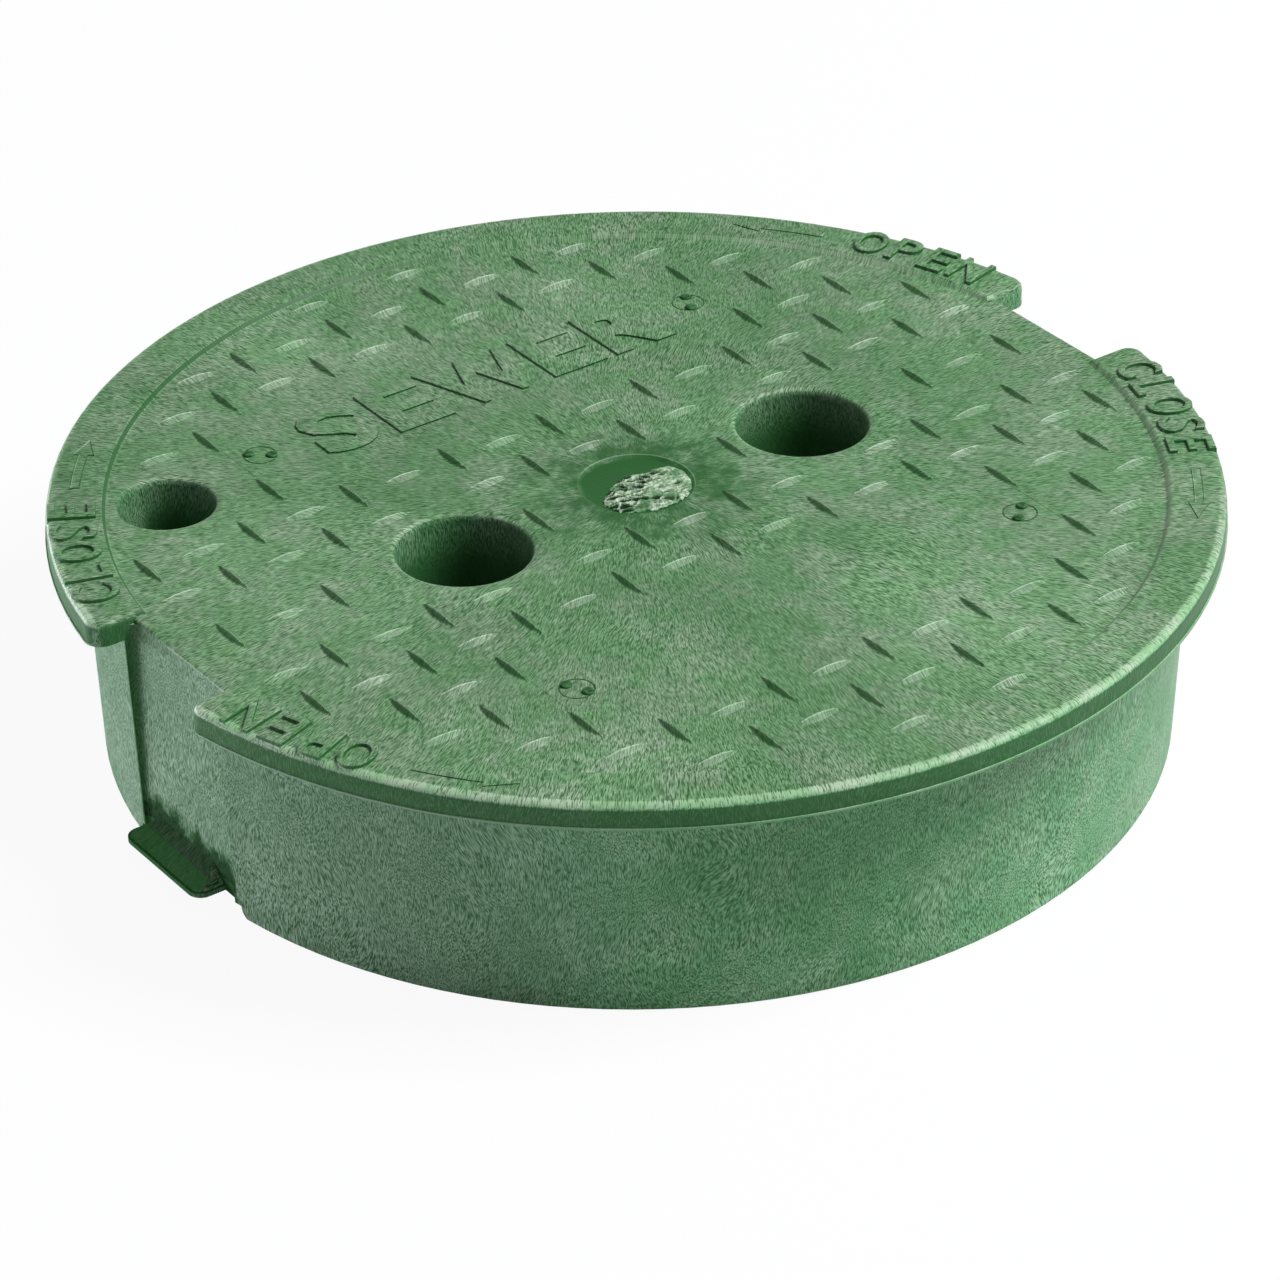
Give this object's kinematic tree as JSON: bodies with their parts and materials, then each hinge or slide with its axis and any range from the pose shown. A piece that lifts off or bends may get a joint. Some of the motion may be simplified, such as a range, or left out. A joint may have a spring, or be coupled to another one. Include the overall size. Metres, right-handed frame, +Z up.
{
  "type": "valve box cover",
  "caption": "Round twist-lock lid for a ground valve box: raised rim, tread-patterned deck with finger holes and a bolt hole, and a hollow tapered skirt with side notches and locking lugs.",
  "frame": {"origin": "middle of the skirt's foot, on the plane it stands on", "axes": "+Z up through the deck; +X through the two finger holes and out through the locking notches; the bolt hole is in the -X +Y quarter"},
  "size_m": [0.2758, 0.28, 0.0615],
  "materials": {
    "green_plastic": "satin foamed polyethylene with pale flow streaks"
  },
  "bodies": {
    "root": {"cover": "green_plastic"}
  },
  "joints": []
}
